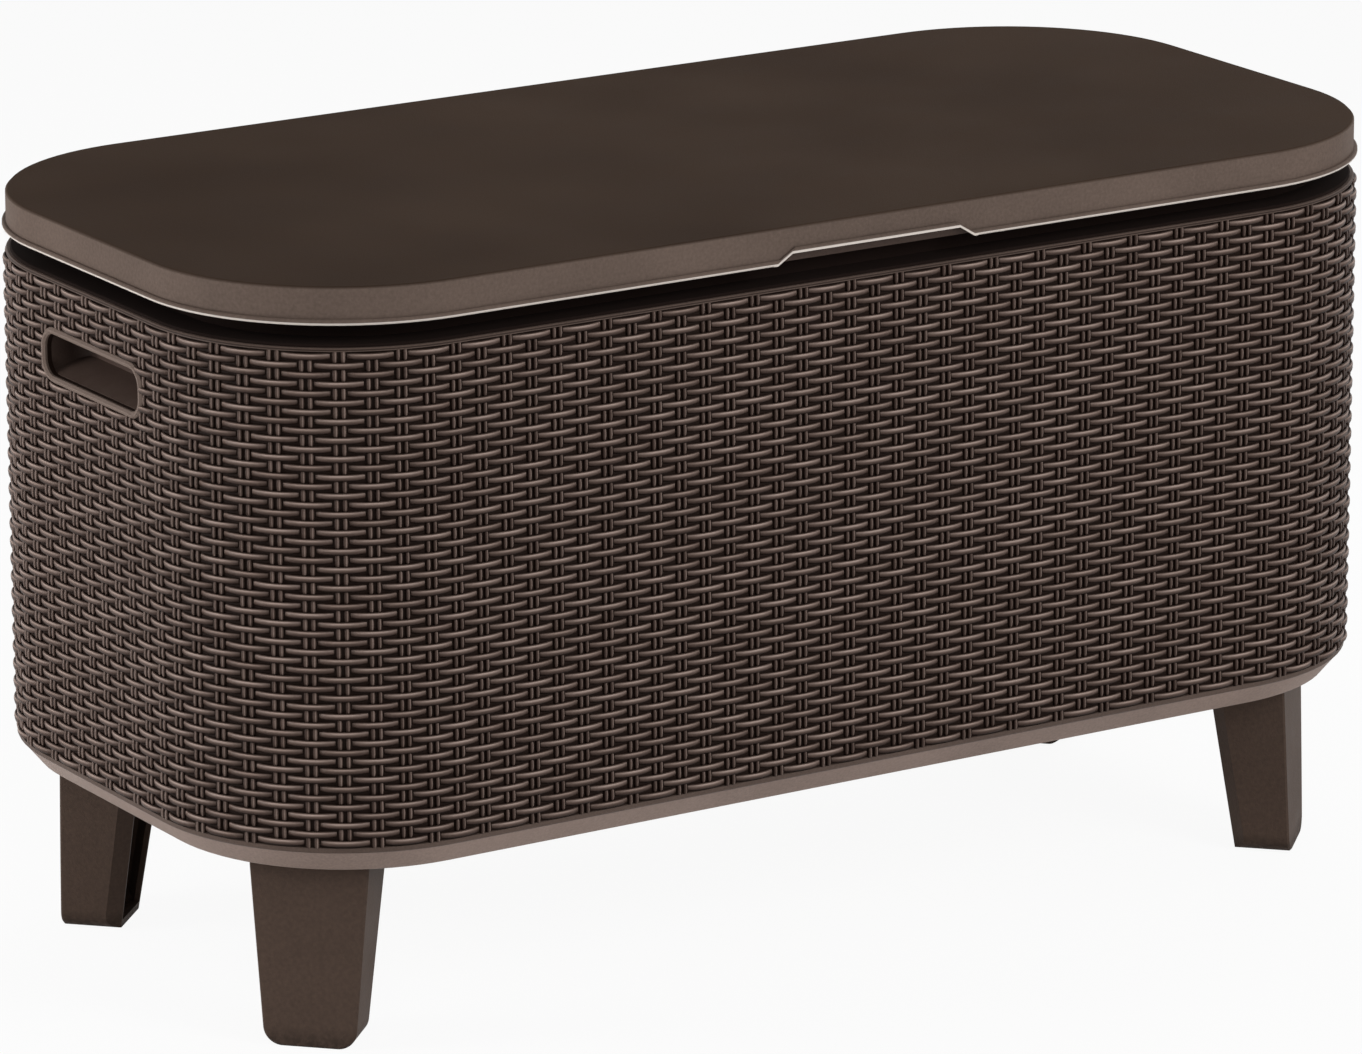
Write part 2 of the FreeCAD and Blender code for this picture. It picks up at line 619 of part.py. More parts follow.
def foot_pad(corner):
    """Solid pad under the tray where a foot is screwed on."""
    outer = CORNER_RADIUS - BAND_BOTTOM_INSET - BAND_WALL / 2
    half = FOOT_HALF_TOP + TRAY_WALL
    back = CORNER_RADIUS - FOOT_INSET_TOP - FOOT_DEPTH_TOP - TRAY_WALL
    pad = block(-half, half, back, outer, TRAY_BOTTOM, TRAY_PLATE + 1)
    pad = pad.common(rod(outer, 0, 0, TRAY_BOTTOM, TRAY_PLATE + 1))
    return place_at_corner(pad, corner)


def band_block(shrink, low, high):
    """A block inside the tray's sloping band, drawn in by a level distance."""
    insets = []
    for z in (low, high):
        share = (SHELL_BOTTOM - z) / BAND_HEIGHT
        insets.append(BAND_TOP_INSET + (BAND_BOTTOM_INSET - BAND_TOP_INSET) * share + shrink)
    return tapered(insets[0], low, insets[1], high)


def make_base_tray():
    """Base moulding: sloping outer band, top plate, a grid of ribs below it and a pad for each foot."""
    tray = band_block(0, TRAY_BOTTOM, SHELL_BOTTOM)
    tray = tray.makeChamfer(BAND_BEVEL, level_edges(tray, TRAY_BOTTOM))
    tray = tray.cut(band_block(BAND_WALL, TRAY_BOTTOM - 1, TRAY_PLATE))
    rib_low = TRAY_BOTTOM + 1
    rib_high = TRAY_PLATE + 1
    inside = band_block(BAND_WALL / 2, rib_low, rib_high)
    ribs = []
    for index in range(RIBS_ALONG):
        x = LID_LENGTH * ((index + 0.5) / RIBS_ALONG - 0.5)
        spread = LID_WIDTH / 2
        ribs.append(block(x - TRAY_RIB / 2, x + TRAY_RIB / 2, -spread, spread, rib_low, rib_high))
    for index in range(RIBS_ACROSS):
        y = RIB_GAP_ACROSS * (index + 0.5 - RIBS_ACROSS / 2)
        spread = LID_LENGTH / 2
        ribs.append(block(-spread, spread, y - TRAY_RIB / 2, y + TRAY_RIB / 2, rib_low, rib_high))
    tray = tray.fuse([rib.common(inside) for rib in ribs])
    tray = tray.fuse([foot_pad(corner) for corner in CORNERS])
    tray = tray.cut(rod(SPOUT_RADIUS + FIT_GAP, DRAIN_X, 0, TRAY_BOTTOM - 1, SHELL_BOTTOM + 1))
    tray = tray.cut(rod(NUT_RADIUS + NUT_ROOM, DRAIN_X, 0, TRAY_BOTTOM - 1, TRAY_PLATE))
    for x, y in base_screw_points():
        tray = tray.cut(rod(SCREW_HEAD_RADIUS + 1, x, y, TRAY_BOTTOM - 1, TRAY_PLATE))
        tray = tray.cut(rod(SCREW_RADIUS + SCREW_GAP, x, y, TRAY_PLATE - 1, SHELL_BOTTOM + 1))
    for corner in CORNERS:
        for x, y in foot_screw_offsets():
            hole = rod(SCREW_RADIUS + SCREW_GAP, x, y, TRAY_BOTTOM - 1, SHELL_BOTTOM - SCREW_BITE)
            tray = tray.cut(place_at_corner(hole, corner))
    return tray


def screw(x, y, seat, tip, radius, head_radius, head):
    """A screw whose head bears on a level seat, pointing up or down to its tip."""
    direction = 1 if tip > seat else -1
    shank = rod(radius, x, y, min(seat, tip), max(seat, tip))
    low = seat - head if direction > 0 else seat
    return rod(head_radius, x, y, low, low + head).fuse(shank)


def make_foot_screws():
    """Two screws up through the top plate of each foot into its pad."""
    group = []
    for corner in CORNERS:
        for x, y in foot_screw_offsets():
            single = screw(x, y, TRAY_BOTTOM - TRAY_WALL, SHELL_BOTTOM - 2 * SCREW_BITE,
                           SCREW_RADIUS, SCREW_HEAD_RADIUS, SCREW_HEAD)
            group.append(place_at_corner(single, corner))
    return Part.makeCompound(group)


def make_base_screws():
    """Screws that hold the tray to the shell's lower flange."""
    tip = SHELL_BOTTOM + SHELL_WALL + SCREW_BITE
    sizes = (SCREW_RADIUS, SCREW_HEAD_RADIUS, SCREW_HEAD)
    return Part.makeCompound([screw(x, y, TRAY_PLATE, tip, *sizes) for x, y in base_screw_points()])


def make_lid_screws():
    """Screws that hold the liner to the lid panel's bosses."""
    tip = LID_CEILING - 2 * SCREW_BITE
    sizes = (SCREW_RADIUS, SCREW_HEAD_RADIUS, SCREW_HEAD)
    return Part.makeCompound([screw(x, y, LINER_BOTTOM, tip, *sizes) for x, y in lid_boss_points()])


def hinge_screw_points():
    """Two screws for each hinge bracket, outside its arm."""
    y = HINGE_AXIS_Y - (ARM_FRONT + ARM_REAR) / 2
    return [(side * HINGE_X + hand * BRACKET_SCREW_X, y) for side in (-1, 1) for hand in (-1, 1)]


def make_hinge_screws():
    """Short screws down through the brackets into the tub's flange."""
    sizes = (SMALL_SCREW_RADIUS, SMALL_HEAD_RADIUS, SMALL_HEAD)
    seat = FLANGE_TOP + BRACKET_BASE
    tip = SHELL_TOP + SCREW_BITE / 2
    return Part.makeCompound([screw(x, y, seat, tip, *sizes) for x, y in hinge_screw_points()])


def make_hinge_bracket(side):
    """Fixed half of a hinge: foot plate, arm in front of the axis, and the knuckle that holds the pin."""
    centre = side * HINGE_X
    front = HINGE_AXIS_Y - ARM_FRONT
    rear = HINGE_AXIS_Y - ARM_REAR
    base = block(centre - BRACKET_HALF, centre + BRACKET_HALF, front, rear + 0.5,
                 FLANGE_TOP, FLANGE_TOP + BRACKET_BASE)
    arm = block(centre - KNUCKLE_HALF, centre + KNUCKLE_HALF, front, rear,
                FLANGE_TOP, HINGE_AXIS_Z + KNUCKLE_RADIUS)
    arm = arm.makeFillet(ARM_REAR / 2, [edge for edge in level_edges(arm, HINGE_AXIS_Z + KNUCKLE_RADIUS)
                                        if edge.CenterOfMass.y < front + 1])
    neck = block(centre - KNUCKLE_HALF, centre + KNUCKLE_HALF, rear - 1, HINGE_AXIS_Y,
                 HINGE_AXIS_Z - KNUCKLE_RADIUS, HINGE_AXIS_Z + KNUCKLE_RADIUS)
    start = Vector(centre - KNUCKLE_HALF, HINGE_AXIS_Y, HINGE_AXIS_Z)
    knuckle = Part.makeCylinder(KNUCKLE_RADIUS, 2 * KNUCKLE_HALF, start, Vector(1, 0, 0))
    bracket = base.fuse([arm, neck, knuckle])
    for x, y in hinge_screw_points():
        hole = rod(SMALL_SCREW_RADIUS + SCREW_GAP, x, y, FLANGE_TOP - 1, FLANGE_TOP + BRACKET_BASE + 1)
        bracket = bracket.cut(hole)
    bore = Part.makeCylinder(PIN_RADIUS + PIN_GAP / 2, 4 * KNUCKLE_HALF,
                             start - Vector(KNUCKLE_HALF, 0, 0), Vector(1, 0, 0))
    return bracket.cut(bore)


def make_hinge_pin(side):
    """Steel pin with a small head, through both ears and the knuckle."""
    centre = side * HINGE_X
    reach = KNUCKLE_HALF + FIT_GAP + EAR_WIDTH + FIT_GAP
    inner = Vector(centre - side * reach, HINGE_AXIS_Y, HINGE_AXIS_Z)
    outward = Vector(side, 0, 0)
    pin = Part.makeCylinder(PIN_RADIUS, 2 * reach, inner, outward)
    head = Part.makeCylinder(PIN_HEAD_RADIUS, PIN_HEAD_LENGTH, inner + outward * (2 * reach), outward)
    return pin.fuse(head)


def make_drain_spout():
    """Flanged tube, revolved, from the tub's floor down through the base tray."""
    seat = TUB_FLOOR + GASKET_THICK
    profile = [
        (SPOUT_BORE, SPOUT_END),
        (SPOUT_RADIUS, SPOUT_END),
        (SPOUT_RADIUS, seat),
        (SPOUT_FLANGE_RADIUS, seat),
        (SPOUT_FLANGE_RADIUS - SPOUT_FLANGE, seat + SPOUT_FLANGE),
        (SPOUT_BORE + SPOUT_FLANGE, seat + SPOUT_FLANGE),
        (SPOUT_BORE, seat),
    ]
    return turned(profile, DRAIN_X, 0)


def turned(profile, x, y):
    """A solid of revolution about an upright axis, from its radius and height points."""
    corners = [Vector(x + radius, y, z) for radius, z in profile]
    face = Part.Face(Part.makePolygon(corners + corners[:1]))
    return face.revolve(Vector(x, y, 0), Vector(0, 0, 1), 360)


def make_drain_gasket():
    """Flat ring between the spout's flange and the tub's floor."""
    disc = rod(SPOUT_FLANGE_RADIUS - 1, DRAIN_X, 0, TUB_FLOOR, TUB_FLOOR + GASKET_THICK)
    return disc.cut(rod(SPOUT_RADIUS + FIT_GAP / 4, DRAIN_X, 0, TUB_FLOOR - 1, TUB_FLOOR + GASKET_THICK + 1))


def make_drain_nut():
    """Hexagonal nut on the spout, drawn up against the tray's plate."""
    low = TRAY_PLATE - NUT_HEIGHT
    corners = []
    for index in range(7):
        angle = math.radians(60 * index)
        corners.append(Vector(DRAIN_X + NUT_RADIUS * math.cos(angle), NUT_RADIUS * math.sin(angle), low))
    nut = Part.Face(Part.makePolygon(corners)).extrude(Vector(0, 0, NUT_HEIGHT))
    return nut.cut(rod(SPOUT_RADIUS + FIT_GAP / 4, DRAIN_X, 0, low - 1, TRAY_PLATE + 1))


def make_drain_plug():
    """Push-fit plug in the spout's lower end, with a cap to grip it by."""
    core = SPOUT_BORE - PLUG_GAP
    top = SPOUT_END + PLUG_INSERT
    cap_low = SPOUT_END - PLUG_CAP
    profile = [
        (0, cap_low),
        (PLUG_CAP_RADIUS - 1.5, cap_low),
        (PLUG_CAP_RADIUS, cap_low + 1.5),
        (PLUG_CAP_RADIUS, SPOUT_END),
        (core, SPOUT_END),
        (core, top - 2),
        (core - 2, top),
        (0, top),
    ]
    return turned(profile, DRAIN_X, 0)


save(make_lid_top(), "lid_top")
save(make_lid_liner(), "lid_liner")
save(make_lid_foam(), "lid_foam")
save(make_lid_seal(), "lid_seal")
save(make_lid_screws(), "lid_screws")
save(make_body_shell(), "body_shell")
save(make_cooler_tub(), "cooler_tub")
save(make_tub_foam(), "tub_foam")
save(make_base_tray(), "base_tray")
save(make_base_screws(), "base_screws")
save(make_foot_screws(), "foot_screws")
save(make_hinge_screws(), "hinge_screws")
save(make_drain_spout(), "drain_spout")
save(make_drain_gasket(), "drain_gasket")
save(make_drain_nut(), "drain_nut")
save(make_drain_plug(), "drain_plug")
for corner in CORNERS:
    save(make_foot(corner), f"foot_{corner}")
for name, side in ENDS.items():
    save(make_grip_cup(side), f"grip_cup_{name}")
    save(make_hinge_bracket(side), f"hinge_bracket_{name}")
    save(make_hinge_pin(side), f"hinge_pin_{name}")
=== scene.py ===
import math

import bpy
from mathutils import Matrix, Vector


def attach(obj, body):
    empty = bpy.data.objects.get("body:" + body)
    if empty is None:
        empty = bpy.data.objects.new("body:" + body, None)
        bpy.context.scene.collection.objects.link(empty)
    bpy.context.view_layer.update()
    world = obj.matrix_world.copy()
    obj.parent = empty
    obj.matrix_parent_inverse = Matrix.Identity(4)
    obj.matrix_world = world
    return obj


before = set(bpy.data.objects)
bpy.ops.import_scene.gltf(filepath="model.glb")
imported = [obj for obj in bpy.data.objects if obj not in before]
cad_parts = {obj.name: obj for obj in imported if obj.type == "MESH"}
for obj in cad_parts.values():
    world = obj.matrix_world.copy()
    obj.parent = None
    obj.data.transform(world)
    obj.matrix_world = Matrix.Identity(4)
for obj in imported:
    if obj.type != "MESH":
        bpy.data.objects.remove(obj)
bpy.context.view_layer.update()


# Base tray: one smooth injection moulding that closes the cabinet from below. Its rounded rim
# is the pale band under the weave; ribs and foot pads are underneath, where nobody polishes.
class Signal:
    """One output in a node tree. Arithmetic on values adds Math nodes; node() adds any other."""

    def __init__(self, tree, socket=None):
        self.tree = tree
        self.socket = socket

    def node(self, kind, settings=None, inputs=None, output=None):
        """Add a node: its settings first, then a value or a link for each socket it is given."""
        made = self.tree.nodes.new(kind)
        for name, value in (settings or {}).items():
            setattr(made, name, value)
        for name, value in (inputs or {}).items():
            target = find_socket(made.inputs, name)
            if isinstance(value, Signal):
                self.tree.links.new(value.socket, target)
            else:
                target.default_value = value
        return Signal(self.tree, find_socket(made.outputs, output) if len(made.outputs) else None)

    def maths(self, operation, *others):
        """Add a Math node that takes this value first."""
        inputs = dict(enumerate((self, *others)))
        return self.node("ShaderNodeMath", {"operation": operation}, inputs)

    def __add__(self, other):
        return self.maths("ADD", other)

    def __sub__(self, other):
        return self.maths("SUBTRACT", other)

    def __rsub__(self, other):
        return self * -1 + other

    def __mul__(self, other):
        return self.maths("MULTIPLY", other)

    def __truediv__(self, other):
        return self.maths("DIVIDE", other)

    def __pow__(self, other):
        return self.maths("POWER", other)

    def __mod__(self, other):
        return self.maths("FLOORED_MODULO", other)

    def __abs__(self):
        return self.maths("ABSOLUTE")

    __radd__ = __add__
    __rmul__ = __mul__

    def over(self, least):
        """This value, or the least one where it would fall below that."""
        return self.maths("MAXIMUM", least)

    def under(self, most):
        """This value, or the most where it would rise above that."""
        return self.maths("MINIMUM", most)

    def step(self, low, high, to_low=0.0, to_high=1.0):
        """Follow this value from low to high and stay level beyond both."""
        sockets = {"Value": self, "From Min": low, "From Max": high}
        sockets.update({"To Min": to_low, "To Max": to_high})
        return self.node("ShaderNodeMapRange", inputs=sockets)

    def parts(self):
        """The x, y and z of a vector."""
        split = self.node("ShaderNodeSeparateXYZ", inputs={"Vector": self})
        return [Signal(self.tree, socket) for socket in split.socket.node.outputs]


def find_socket(sockets, name):
    """A socket by its place or its name; with no name, the first one that is in use."""
    if isinstance(name, int):
        return sockets[name]
    live = [socket for socket in sockets if socket.enabled]
    return next(socket for socket in live if name in (None, socket.name))


def tone(red, green, blue):
    """A colour as seen on a screen, 0 to 255, as the linear colour that a shader takes."""
    linear = [((level / 255 + 0.055) / 1.055) ** 2.4 for level in (red, green, blue)]
    return (*linear, 1.0)


def mix(factor, first, second):
    """Go from the first colour to the second as the factor goes from 0 to 1."""
    sockets = {"Factor": factor, "A": first, "B": second}
    return factor.node("ShaderNodeMix", {"data_type": "RGBA"}, sockets, "Result")


def noise(place, size, detail=2.0):
    """Smooth noise from 0 to 1 whose blots are about the given size in metres."""
    sockets = {"Vector": place, "Scale": 1 / size, "Detail": detail}
    return place.node("ShaderNodeTexNoise", inputs=sockets, output="Fac")


def new_material(name):
    """An empty material, with its object coordinates to build from."""
    material = bpy.data.materials.new(name)
    material.use_nodes = True
    material.node_tree.nodes.clear()
    place = Signal(material.node_tree).node("ShaderNodeTexCoord", output="Object")
    return material, place


def surface(place, colour, roughness, height, depth, shine=0.08, metallic=0.0):
    """Close a material: one surface shader with a bump, and the output."""
    relief = {"Height": height, "Distance": depth, "Strength": 1.0}
    normal = place.node("ShaderNodeBump", inputs=relief)
    sockets = {"Base Color": colour, "Roughness": roughness, "Normal": normal}
    sockets.update({"Specular IOR Level": shine, "Metallic": metallic})
    shader = place.node("ShaderNodeBsdfPrincipled", inputs=sockets)
    place.node("ShaderNodeOutputMaterial", inputs={"Surface": shader})


def moulded(name, colour, roughness, peel_size, peel_depth, shade=None, shine=0.08):
    """Moulded plastic: an orange-peel skin, faint clouds in its colour and rubbed, duller patches.

    shade, if given, takes the coordinates and the colour and gives one piece's own colour and
    dullness."""
    material, place = new_material(name)
    clouds = noise(place, 0.09)
    speckle = noise(place, peel_size * 1.6, 1.0)
    darker = tuple(level * 0.82 for level in colour[:3]) + (1.0,)
    lighter = tuple(level * 1.16 for level in colour[:3]) + (1.0,)
    tinted, dull = mix((clouds * 0.55 + speckle * 0.45).step(0.32, 0.68), darker, lighter), 0.0
    if shade:
        tinted, dull = shade(place, tinted)
    rubbed = noise(place, 0.035, 4.0).step(0.35, 0.75)
    peel = noise(place, peel_size) + noise(place, peel_size * 0.4, 0.0) * 0.35
    roughness = rubbed * 0.08 + speckle * 0.05 + roughness + dull
    surface(place, tinted, roughness, peel, peel_depth, shine)
    return material


def dress(material, *nodes):
    """Give CAD nodes their material."""
    for name in nodes:
        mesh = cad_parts[name].data
        mesh.materials.clear()
        mesh.materials.append(material)


RIM_EDGE = 0.1165
SCUFF_TOP = 0.1205


def scuffed_rim(place, tinted):
    """The rim's lower edge is rubbed paler where the table is slid and lifted."""
    height = place.parts()[2]
    rubbed = height.step(SCUFF_TOP, RIM_EDGE) * noise(place, 0.006, 3.0).step(0.45, 0.75)
    return mix(rubbed * 0.35, tinted, tone(152, 137, 129)), rubbed * -0.06


tray_plastic = moulded("tray_plastic", tone(144, 126, 117), 0.50, 0.0011, 0.00010, scuffed_rim)
dress(tray_plastic, "base_tray")


# Feet: four tapered corner blocks moulded with a hollow, open back and screwed up into the tray.
# They have a fine matt grain, a little coarser than the lid's, and blots darker towards their
# soles.
DARKEST_HEIGHT = 0.002
DARKENING_TOP = 0.013


def darkened_sole(place, tinted):
    """The lowest centimetre is darkened in blots, most of all next to the ground."""
    height = place.parts()[2]
    sole_darkening = height.step(DARKENING_TOP, DARKEST_HEIGHT) * noise(place, 0.0035, 4.0).step(0.25, 0.6)
    return mix(sole_darkening * 0.7, tinted, tone(36, 29, 25)), sole_darkening * 0.15


foot_plastic = moulded("foot_plastic", tone(75, 61, 53), 0.54, 0.0016, 0.00022, darkened_sole)
dress(foot_plastic, "foot_front_left", "foot_front_right", "foot_rear_left", "foot_rear_right")


# Outer shell: one large moulding with a smooth bead at its upper and lower edge and the hand grip
# bezels. Its wall lies behind the woven relief and shows only in the gaps, painted near black as
# shade.
SHELL_HALF_X = 0.2920
SHELL_HALF_Y = 0.0760
SHELL_RADIUS = 0.1280
WEAVE_RECESS = 0.0007
WEAVE_TOP = 0.4349
WEAVE_HEIGHT = 0.3008
WEAVE_BOTTOM = WEAVE_TOP - WEAVE_HEIGHT
SHUT_LINE = 0.4358


def outline_distance(place):
    """How far a point stands from the corner centres' rectangle, as seen from above."""
    x, y, _ = place.parts()
    across = (abs(x) - SHELL_HALF_X).over(0.0)
    along = (abs(y) - SHELL_HALF_Y).over(0.0)
    return (across * across + along * along) ** 0.5


def painted_shade_and_bezel_highlight(place, tinted):
    """Behind the weave the wall is painted near black as shade; the beads stay brown, and the grip
    bezels are painted paler as a highlight. A shut line runs round the upper bead."""
    height = place.parts()[2]
    outward = outline_distance(place)
    shut_line = abs(height - SHUT_LINE).step(0.0005, 0.0002)
    # Painted shade: the sunk wall inside the weave field is painted near black.
    recess_shade = outward.step(SHELL_RADIUS, SHELL_RADIUS - WEAVE_RECESS * 0.6)
    field = height.step(WEAVE_BOTTOM, WEAVE_BOTTOM + 0.0003)
    field = field * height.step(WEAVE_TOP, WEAVE_TOP - 0.0003)
    # Painted highlight: the raised bezel faces inside the field are painted paler.
    bezel = field * outward.step(SHELL_RADIUS - WEAVE_RECESS * 0.4, SHELL_RADIUS)
    brown = mix(bezel * 0.6, tinted, tone(124, 108, 99))
    return mix((recess_shade * field).over(shut_line * 0.8), brown, tone(30, 19, 14)), recess_shade * 0.1


shell_plastic = moulded("shell_plastic", tone(88, 74, 67), 0.44, 0.0009, 0.00007, painted_shade_and_bezel_highlight)
dress(shell_plastic, "body_shell")


# Weave: the shell's woven relief, moulded in rows of short strands that pass over every other pair
# of upright rods. It is laid out flat, in pairs across and metres down, then wrapped on the wall.
PAIRS_AROUND = 130.0
END_PITCH = 0.01725
CORNER_PITCH = 0.01936
QUARTER_RUN = SHELL_HALF_X + SHELL_HALF_Y + SHELL_RADIUS * math.pi / 2
LONG_PITCH = (QUARTER_RUN - 7.5 * END_PITCH - 5 * CORNER_PITCH) / 20
# Pairs and pitch of each stretch of wall, from the left end's middle by way of the front.
ZONES = [
    (7.5, "End Pitch"), (5, "Corner Pitch"), (40, "Long Pitch"), (5, "Corner Pitch"),
    (15, "End Pitch"),
    (5, "Corner Pitch"), (40, "Long Pitch"), (5, "Corner Pitch"), (7.5, "End Pitch"),
]
WEAVE_SIZES = {
    "First Pair": 10.0,
    "Pairs": 45.0,
    "Rows": 54.0,
    "Row Pitch": 0.005566,
    "First Row": 0.0029,
    "Strand Reach": 0.76,
    "Strand Width": 0.0040,
    "Strand Thickness": 0.0024,
    "Strand Bow": 0.0028,
    "Strand Sink": 0.0006,
    "Rod Offset": 0.126,
    "Rod Width": 0.168,
    "Rod Thickness": 0.0028,
    "Rod Reach": 0.0052,
    "Rod Bow": 0.0007,
    "End Pitch": END_PITCH,
    "Corner Pitch": CORNER_PITCH,
    "Long Pitch": LONG_PITCH,
    "Half Length": SHELL_HALF_X,
    "Half Width": SHELL_HALF_Y,
    "Corner Radius": SHELL_RADIUS,
    "Recess": WEAVE_RECESS,
    "Top Level": WEAVE_TOP,
    "Field Height": WEAVE_HEIGHT,
    "Grip Level": 0.3904,
    "Grip Half Length": 0.0,
    "Grip Half Height": 0.0150,
    "Grip Radius": 0.0120,
}
# A strand spans its length early, so that its last stations close its blunt ends.
STRAND_SPREAD = 1.3
# The painted light leans upwards by this angle; its painted highlight line is full only on the
# raised strands.
PAINTED_LIGHT_TURN = 0.55
ROD_TOP = 0.0020
STRAND_TOP = 0.0030
STRAND_SEED = 11
ROD_SEED = 5
GRIP_HALF_LENGTH = 0.060
NO_GRIP = 0.0


def new_tree(name, sizes):
    """A Geometry Nodes tree with a named input for each size and one for the material."""
    tree = bpy.data.node_groups.new(name, "GeometryNodeTree")
    tree.interface.new_socket("Geometry", in_out="OUTPUT", socket_type="NodeSocketGeometry")
    tree.interface.new_socket("Geometry", in_out="INPUT", socket_type="NodeSocketGeometry")
    for label, value in sizes.items():
        entry = tree.interface.new_socket(label, in_out="INPUT", socket_type="NodeSocketFloat")
        entry.default_value = value
    tree.interface.new_socket("Finish", in_out="INPUT", socket_type="NodeSocketMaterial")
    sockets = tree.nodes.new("NodeGroupInput").outputs
    return Signal(tree), {socket.name: Signal(tree, socket) for socket in sockets if socket.name}


def close_tree(shape, finish):
    """End a tree: real geometry, smooth, with its material."""
    real = shape.node("GeometryNodeRealizeInstances", inputs={"Geometry": shape})
    smooth = real.node("GeometryNodeSetShadeSmooth", inputs={"Geometry": real})
    sockets = {"Geometry": smooth, "Material": finish}
    painted = smooth.node("GeometryNodeSetMaterial", inputs=sockets)
    painted.node("NodeGroupOutput", inputs={"Geometry": painted})


def grow(name, tree, values, finish, body):
    """Run a tree on an empty mesh and keep the result as a plain piece that rides on a body."""
    piece = bpy.data.objects.new(name, bpy.data.meshes.new(name))
    bpy.context.scene.collection.objects.link(piece)
    modifier = piece.modifiers.new("grow", "NODES")
    modifier.node_group = tree
    for item in tree.interface.items_tree:
        if item.in_out == "INPUT" and item.name in values:
            modifier[item.identifier] = values[item.name]
        if item.in_out == "INPUT" and item.name == "Finish":
            modifier[item.identifier] = finish
    depsgraph = bpy.context.evaluated_depsgraph_get()
    mesh = bpy.data.meshes.new_from_object(
        piece.evaluated_get(depsgraph), preserve_all_data_layers=True, depsgraph=depsgraph)
    piece.modifiers.remove(modifier)
    piece.data = mesh
    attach(piece, body)


def vector(x, y, z):
    """A vector of values, at least one of them a Signal."""
    source = next(value for value in (x, y, z) if isinstance(value, Signal))
    return source.node("ShaderNodeCombineXYZ", inputs={"X": x, "Y": y, "Z": z})


def move(shape, position):
    """Put every point of a shape at a new position."""
    return shape.node("GeometryNodeSetPosition", inputs={"Geometry": shape, "Position": position})


def keep(shape, name, value, kind):
    """Store a value on the mesh, for the material to read."""
    settings = {"data_type": kind, "domain": "POINT"}
    sockets = {"Geometry": shape, "Name": name, "Value": value}
    return shape.node("GeometryNodeStoreNamedAttribute", settings, sockets)


def tube(start, around, along, shape_point):
    """A closed tube from a grid: shape_point takes the angle and the station and gives a point.

    Its outer, upward side and its ends are marked for a painted highlight, its lower side for
    painted shade."""
    sizes = {"Size X": 2.0, "Size Y": 2 * math.pi}
    sizes.update({"Vertices X": along, "Vertices Y": around + 1})
    grid = start.node("GeometryNodeMeshGrid", inputs=sizes)
    station, angle, _ = start.node("GeometryNodeInputPosition").parts()
    # Painted light: how far each face turns up and out, with the ends counted as lit, places the
    # painted highlight and shade.
    painted_light = (angle - PAINTED_LIGHT_TURN).maths("COSINE").over(abs(station) ** 4 * angle.maths("COSINE"))
    tubed = move(keep(grid, "weave_painted_light", painted_light, "FLOAT"), shape_point(angle, station))
    return tubed.node("GeometryNodeMergeByDistance", inputs={"Geometry": tubed, "Distance": 1e-6})


def strand(start, size):
    """One strand: bowed outwards over a pair of rods, its blunt ends sinking beside the next."""
    def point(angle, station):
        along = (station * STRAND_SPREAD).over(-1.0).under(1.0)
        full = abs(station).step(0.99, 0.76)
        rise = size["Strand Bow"] * ((1 - along * along) ** 0.8) - size["Strand Sink"]
        out = rise + angle.maths("COSINE") * full * size["Strand Thickness"] / 2
        down = angle.maths("SINE") * full * size["Strand Width"] / -2
        return vector(along * size["Strand Reach"], out, down)
    return tube(start, 8, 9, point)


def rod(start, size):
    """The length of rod that shows between two strands, a little bowed, its ends under them."""
    def point(angle, station):
        full = (1 - station * station).over(0.0) ** 0.25
        rise = size["Rod Bow"] * (1 - station * station)
        across = angle.maths("SINE") * full * size["Rod Width"] / 2
        out = rise + angle.maths("COSINE") * full * size["Rod Thickness"] / 2
        return vector(across, out, station * size["Rod Reach"])
    return tube(start, 7, 6, point)


def wrap(shape, size):
    """Bend the flat layout round the cabinet's corners and stand it on the recessed wall."""
    pair, out, down = shape.node("GeometryNodeInputPosition").parts()
    pair = pair % PAIRS_AROUND
    begin, run = 0.0, pair * 0
    for pairs, pitch in ZONES:
        run = run + pair.step(begin, begin + pairs, 0.0, size[pitch] * pairs)
        begin += pairs
    half_length, half_width = size["Half Length"], size["Half Width"]
    quarter = size["Corner Radius"] * (math.pi / 2)
    x, y, heading, passed = half_length * -1, half_width * 0, run * 0 + math.pi, run * 0
    legs = [(0, -1, 1), (1, 0, 2), (0, 1, 2), (-1, 0, 2), (0, -1, 1)]
    for number, (go_x, go_y, halves) in enumerate(legs):
        length = (half_length if go_x else half_width) * halves
        straight = run.step(passed, passed + length, 0.0, length)
        x = x + straight * go_x
        y = y + straight * go_y
        passed = passed + length
        if number < 4:
            heading = heading + run.step(passed, passed + quarter, 0.0, math.pi / 2)
            passed = passed + quarter
    reach = size["Corner Radius"] - size["Recess"] + out
    x = x + reach * heading.maths("COSINE")
    y = y + reach * heading.maths("SINE")
    return move(shape, vector(x, y, size["Top Level"] - down))


def lay_out(start, size, shift, each):
    """Places on every other pair in each row, one pair further on in the next row."""
    per_row = (size["Pairs"] / 2).maths("CEIL")
    index = start.node("GeometryNodeInputIndex")
    place = ((index + 0.5) / each).maths("FLOOR")
    row = ((place + 0.5) / per_row).maths("FLOOR")
    odd = (size["First Pair"] + row + shift) % 2.0
    pair = size["First Pair"] + (place - row * per_row) * 2 + odd + 0.5
    down = size["First Row"] + row * size["Row Pitch"]
    points = start.node("GeometryNodePoints", inputs={"Count": per_row * size["Rows"] * each})
    used = pair.maths("LESS_THAN", size["First Pair"] + size["Pairs"])
    return points, pair, down, index - place * each, used


def from_grip(pair, down, size):
    """How far a place is from the middle of the grip, in metres along and down."""
    middle = size["First Pair"] + size["Pairs"] / 2
    return (pair - middle) * size["End Pitch"], down - (size["Top Level"] - size["Grip Level"])


